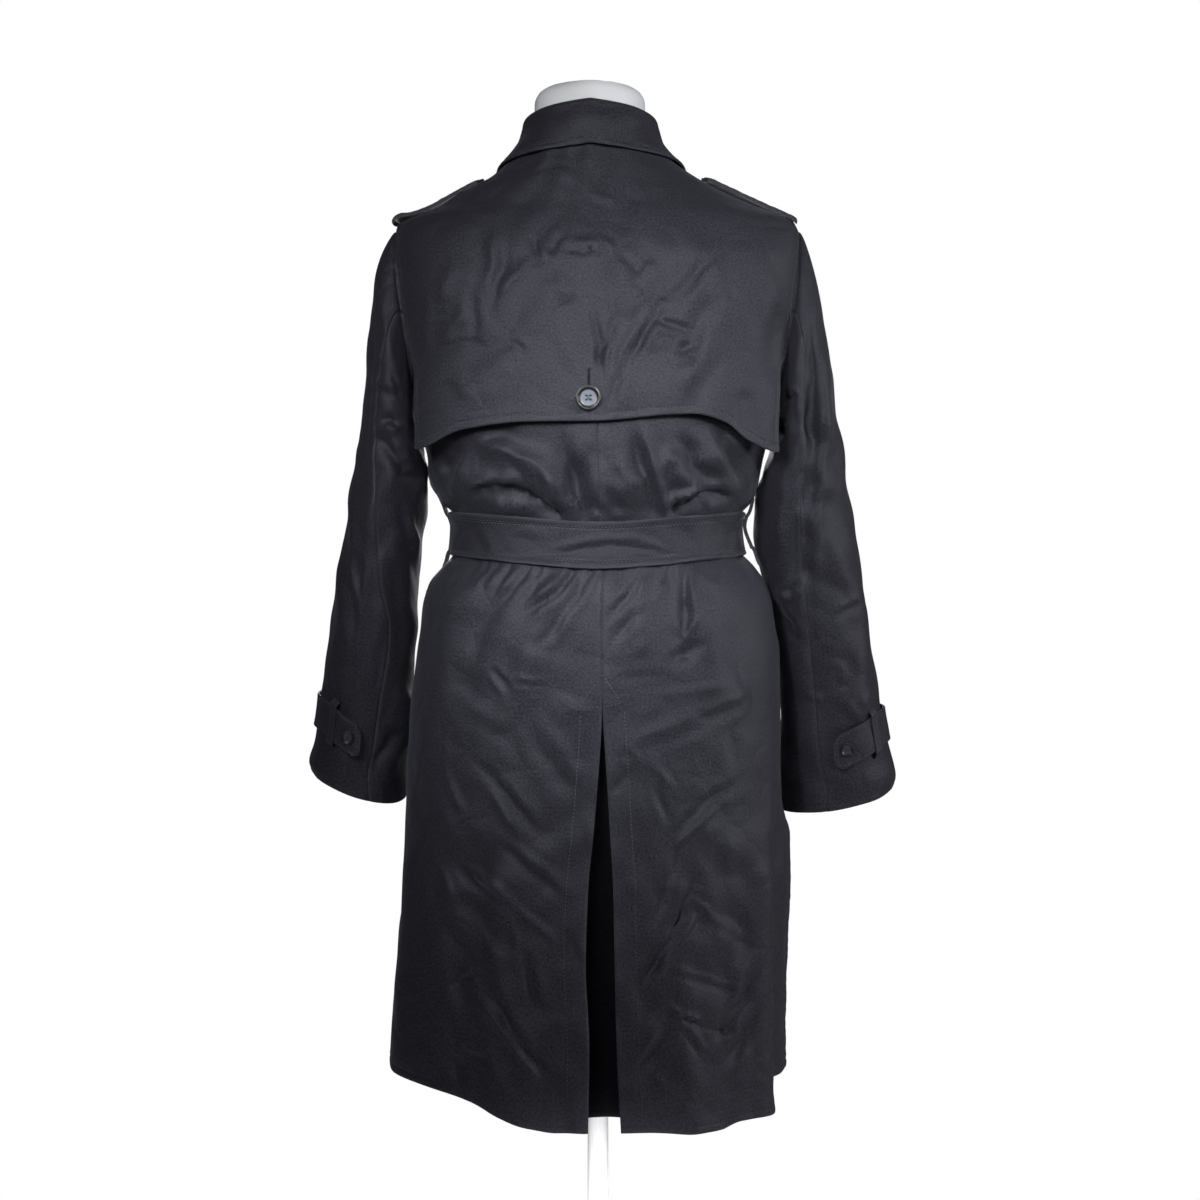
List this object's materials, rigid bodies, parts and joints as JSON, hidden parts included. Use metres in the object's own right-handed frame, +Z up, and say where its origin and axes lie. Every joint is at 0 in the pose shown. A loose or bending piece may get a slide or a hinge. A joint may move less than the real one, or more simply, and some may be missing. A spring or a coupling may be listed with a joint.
{
  "type": "trench coat on dress form",
  "caption": "Belted double-breasted trench coat with storm flap, epaulettes, cuff straps and an inverted back pleat, worn by a limbless dress form on a round base",
  "frame": {"origin": "middle of the underside of the stand's round base, on the floor", "axes": "+Z up along the pole, -Y the way the coat faces, +X the wearer's left"},
  "size_m": [0.6256, 0.3388, 1.5205],
  "materials": {
    "back_left": "black cotton gabardine",
    "back_right": "black cotton gabardine",
    "belt": "black cotton gabardine",
    "belt_end": "black cotton gabardine",
    "belt_loop_left": "black cotton gabardine",
    "belt_loop_right": "black cotton gabardine",
    "buckle": "black leather covered",
    "buckle_prong": "black leather covered",
    "collar_fall": "black cotton gabardine",
    "collar_stand": "black cotton gabardine",
    "cuff_button_left": "glossy black moulded button with a raised rim",
    "cuff_button_right": "glossy black moulded button with a raised rim",
    "cuff_loop_left": "black cotton gabardine",
    "cuff_loop_right": "black cotton gabardine",
    "cuff_strap_left": "black cotton gabardine",
    "cuff_strap_right": "black cotton gabardine",
    "dress_form": "white stretched jersey cover",
    "epaulette_button_left": "glossy black moulded button with a raised rim",
    "epaulette_button_right": "glossy black moulded button with a raised rim",
    "epaulette_left": "black cotton gabardine",
    "epaulette_right": "black cotton gabardine",
    "flap_button": "glossy black moulded button with a raised rim",
    "front_button_l1": "glossy black moulded button with a raised rim",
    "front_button_l2": "glossy black moulded button with a raised rim",
    "front_button_l3": "glossy black moulded button with a raised rim",
    "front_button_l4": "glossy black moulded button with a raised rim",
    "front_button_r1": "glossy black moulded button with a raised rim",
    "front_button_r2": "glossy black moulded button with a raised rim",
    "front_button_r3": "glossy black moulded button with a raised rim",
    "front_button_r4": "glossy black moulded button with a raised rim",
    "front_left": "black cotton gabardine",
    "front_right": "black cotton gabardine",
    "lapel_left": "black cotton gabardine",
    "lapel_right": "black cotton gabardine",
    "pleat_underlay": "black cotton gabardine",
    "sleeve_under_left": "black cotton gabardine",
    "sleeve_under_right": "black cotton gabardine",
    "sleeve_upper_left": "black cotton gabardine",
    "sleeve_upper_right": "black cotton gabardine",
    "stand_base": "white lacquer",
    "stand_pole": "white lacquer",
    "storm_flap": "black cotton gabardine"
  },
  "bodies": {
    "root": {"back_left": "back_left", "back_right": "back_right", "belt": "belt", "belt_end": "belt_end", "belt_loop_left": "belt_loop_left", "belt_loop_right": "belt_loop_right", "buckle": "buckle", "buckle_prong": "buckle_prong", "collar_fall": "collar_fall", "collar_stand": "collar_stand", "cuff_button_left": "cuff_button_left", "cuff_button_right": "cuff_button_right", "cuff_loop_left": "cuff_loop_left", "cuff_loop_right": "cuff_loop_right", "cuff_strap_left": "cuff_strap_left", "cuff_strap_right": "cuff_strap_right", "dress_form": "dress_form", "epaulette_button_left": "epaulette_button_left", "epaulette_button_right": "epaulette_button_right", "epaulette_left": "epaulette_left", "epaulette_right": "epaulette_right", "flap_button": "flap_button", "front_button_l1": "front_button_l1", "front_button_l2": "front_button_l2", "front_button_l3": "front_button_l3", "front_button_l4": "front_button_l4", "front_button_r1": "front_button_r1", "front_button_r2": "front_button_r2", "front_button_r3": "front_button_r3", "front_button_r4": "front_button_r4", "front_left": "front_left", "front_right": "front_right", "lapel_left": "lapel_left", "lapel_right": "lapel_right", "pleat_underlay": "pleat_underlay", "sleeve_under_left": "sleeve_under_left", "sleeve_under_right": "sleeve_under_right", "sleeve_upper_left": "sleeve_upper_left", "sleeve_upper_right": "sleeve_upper_right", "stand_base": "stand_base", "stand_pole": "stand_pole", "storm_flap": "storm_flap"}
  },
  "joints": []
}
